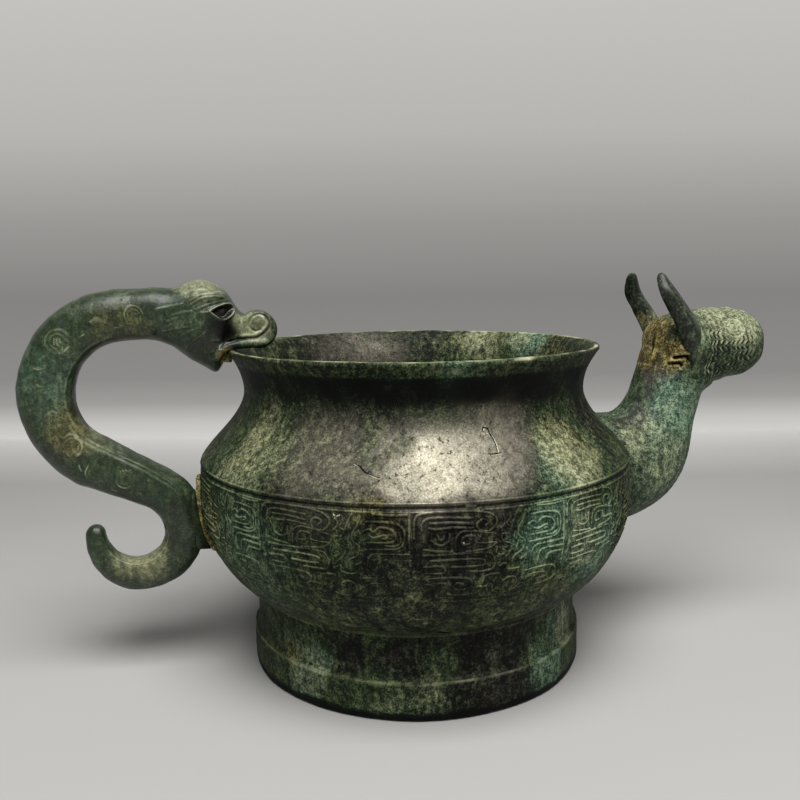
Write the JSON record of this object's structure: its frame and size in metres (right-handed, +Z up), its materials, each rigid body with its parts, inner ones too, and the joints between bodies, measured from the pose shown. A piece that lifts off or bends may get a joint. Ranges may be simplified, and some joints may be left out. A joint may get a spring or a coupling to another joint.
{
  "type": "spouted bronze pouring vessel",
  "caption": "Cast bronze pouring vessel: round bowl on a ring foot, dragon handle that bites the rim, curved spout with a long-eared beast head.",
  "frame": {"origin": "under the middle of the overall length and width, on the plane that the foot stands on", "axes": "+X along the vessel from the handle to the spout, +Z up along the bowl's axis"},
  "size_m": [0.323, 0.183, 0.1629],
  "materials": {
    "bowl_bronze": "dark satin bronze with green patina",
    "foot_bronze": "near-black bronze with green patina",
    "green_bronze": "green patinated bronze, pitted and dusty",
    "solder": "dull brown solder with rust stains"
  },
  "bodies": {
    "root": {"bowl": "bowl_bronze", "foot_ring": "foot_bronze", "foot_solder": "solder", "spout_neck": "green_bronze", "spout_solder": "solder", "spout_head": "green_bronze", "spout_head_solder": "solder", "ear_left": "green_bronze", "ear_right": "green_bronze", "handle_arm": "green_bronze", "dragon_head": "green_bronze", "rim_solder": "solder", "lug_solder": "solder"}
  },
  "joints": []
}
